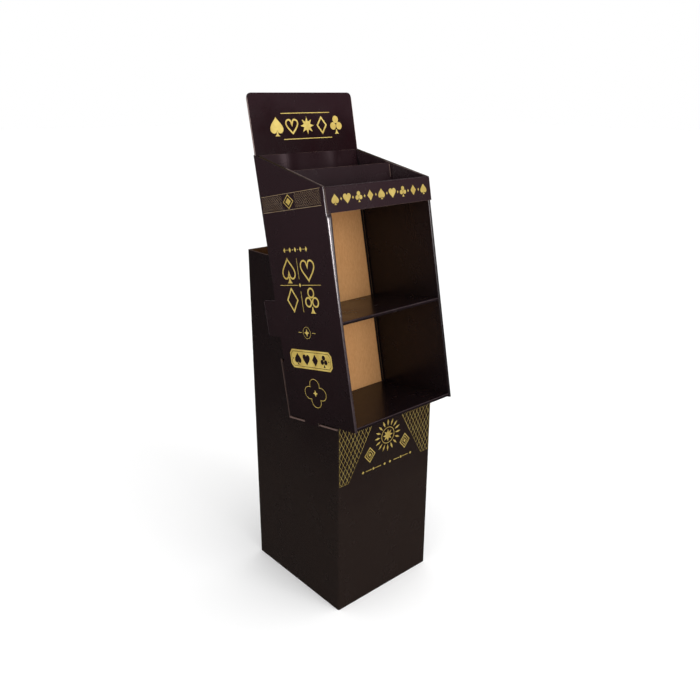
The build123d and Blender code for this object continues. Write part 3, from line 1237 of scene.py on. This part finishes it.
def fold_section(share, up):
    """Across and ahead, a share of the way round the fold from the outer wall to the inner wall."""
    outer = outer_half + skin_proud
    depth = tip_radius + thrust_depth * thrust(up)
    nose_base = fold_tip + thrust(up) - depth
    if share < outer_share:
        return outer, skin_outer_start + (nose_base - skin_outer_start) * share / outer_share
    if share < outer_share + nose_share:
        inner = inner_half(nose_base) - skin_proud - gape(up)
        turn = pi * (share - outer_share) / nose_share
        swing = abs(cos(turn)) ** (2 / fold_fullness) * (1 if cos(turn) > 0 else -1)
        across = (outer + inner) / 2 + (outer - inner) / 2 * swing
        return across, nose_base + depth * sin(turn) ** (2 / fold_fullness)
    back = (share - outer_share - nose_share) / (1 - outer_share - nose_share)
    ahead = nose_base + (skin_inner_end - nose_base) * back
    return inner_half(ahead) - skin_proud - gape(up) * (1 + cos(pi * back)) / 2, ahead


def skin_face(centre, normal):
    """Fold skin: the nose in the pale fold print, part wear and part painted highlight, shut behind the
    strip, between the outer print and the darker inner print, which is painted shade.
    """
    if normal.dot(forward) < nose_facing:
        return SKIN_OUTER if normal.x < 0 else SKIN_INNER
    return SKIN_SHUT if case_place(centre)[2] > strip_low else SKIN_NOSE


def front_fold_left():
    """The paper of the left front fold, laid over the fold of the case."""
    skin = begin(
        bpy.ops.mesh.primitive_grid_add, x_subdivisions=skin_columns, y_subdivisions=skin_rows, size=1
    )
    for corner in skin.data.vertices:
        up = gape_low + (gape_high - gape_low) * (corner.co.y + 0.5)
        across, ahead = fold_section(min(1, max(0, corner.co.x + 0.5)), up)
        corner.co = case_point(-across, ahead, up)
    finish_modifier(skin, "SOLIDIFY", thickness=skin_proud / 2, offset=-1.0)
    bpy.ops.object.shade_smooth_by_angle(angle=skin_smooth)
    for finish in (open_fold, case_print, shaded_inner_print, fold_print):
        skin.data.materials.append(finish)
    for face in skin.data.polygons:
        face.material_index = skin_face(face.center, face.normal)
    return skin


add_piece(front_fold_left(), "front_fold_left")

# Floor
floor_size = 60
floor = begin(bpy.ops.mesh.primitive_plane_add, size=floor_size)
floor.name = "floor"
pale_floor, floor_tree, floor_shader, _ = new_material("pale_floor")
feed(floor_tree, floor_shader, {
    "Base Color": (0.97, 0.97, 0.97, 1),
    "Roughness": 0.9,
    "Specular IOR Level": 0.0,
})
floor.data.materials.append(pale_floor)
floor.visible_glossy = False

# Lights. The dome is brightest low down and in front, and dimmer in what the varnish mirrors.
dome_light, dome_mirrored, backdrop_light = 1.62, 0.045, 1.0
dome_dim_above, dome_gain_ahead = 0.5, 0.35
key_place, key_target, key_size, key_power = (0.6, -4.2, 2.2), (0, 0, 0.9), (2.2, 2.0), 80
edge_place, edge_target, edge_size, edge_power = (-2.62, -1.6, 1.42), (-0.2, -0.22, 1.15), (2.0, 0.5), 125
edge_colour = (1.0, 0.92, 0.93)


def white_dome():
    """A white world, as bright as set for what it lights, for what mirrors it and for the backdrop."""
    world = bpy.data.worlds.new("studio")
    bpy.context.scene.world = world
    world.use_nodes = True
    tree = world.node_tree
    rays = add_node(tree, "ShaderNodeLightPath").outputs
    sky = add_node(tree, "ShaderNodeTexCoord").outputs["Generated"]
    above = dome_light * (1 - dome_dim_above)
    low_down = ramp(tree, coordinate(tree, sky, "Z"), (0, 1), (dome_light, above))
    in_front = ramp(
        tree, coordinate(tree, sky, "Y"), (-1, 1), (1 + dome_gain_ahead, 1 - dome_gain_ahead)
    )
    lit = arithmetic(tree, "MULTIPLY", low_down, in_front)
    mirrored = ramp(tree, rays["Is Glossy Ray"], (0, 1), (lit, dome_mirrored))
    shown = ramp(tree, rays["Is Camera Ray"], (0, 1), (mirrored, backdrop_light))
    feed(tree, tree.nodes["Background"], {"Color": white, "Strength": shown})


def area_light(name, place, target, size, power):
    """A soft box that faces the target."""
    turn = (Vector(target) - Vector(place)).to_track_quat("-Z", "Y").to_euler()
    bpy.ops.object.light_add(type="AREA", location=place, rotation=turn)
    lamp = bpy.context.object
    lamp.name = name
    lamp.data.shape = "RECTANGLE"
    lamp.data.size, lamp.data.size_y = size
    lamp.data.energy = power
    return lamp


white_dome()
area_light("key_light", key_place, key_target, key_size, key_power)
edge_light = area_light("edge_light", edge_place, edge_target, edge_size, edge_power)
edge_light.data.color = edge_colour
edge_light.visible_diffuse = False

# Camera, placed by a fit to the stand's corners in the photograph
camera_place = Vector((-1.43531, -1.67238, 1.58331))
camera_yaw, camera_pitch, camera_roll = radians(41.3582), radians(19.8353), radians(0.2138)
camera_lens, camera_sensor = 37.125, 36
bpy.ops.object.camera_add(location=camera_place)
camera = bpy.context.object
camera.matrix_world = (
    Matrix.Translation(camera_place)
    @ Matrix.Rotation(-camera_yaw, 4, "Z")
    @ Matrix.Rotation(pi / 2 - camera_pitch, 4, "X")
    @ Matrix.Rotation(camera_roll, 4, "Z")
)
camera.data.lens = camera_lens
camera.data.sensor_width = camera_sensor
bpy.context.scene.camera = camera
bpy.context.scene.view_settings.view_transform = "Standard"
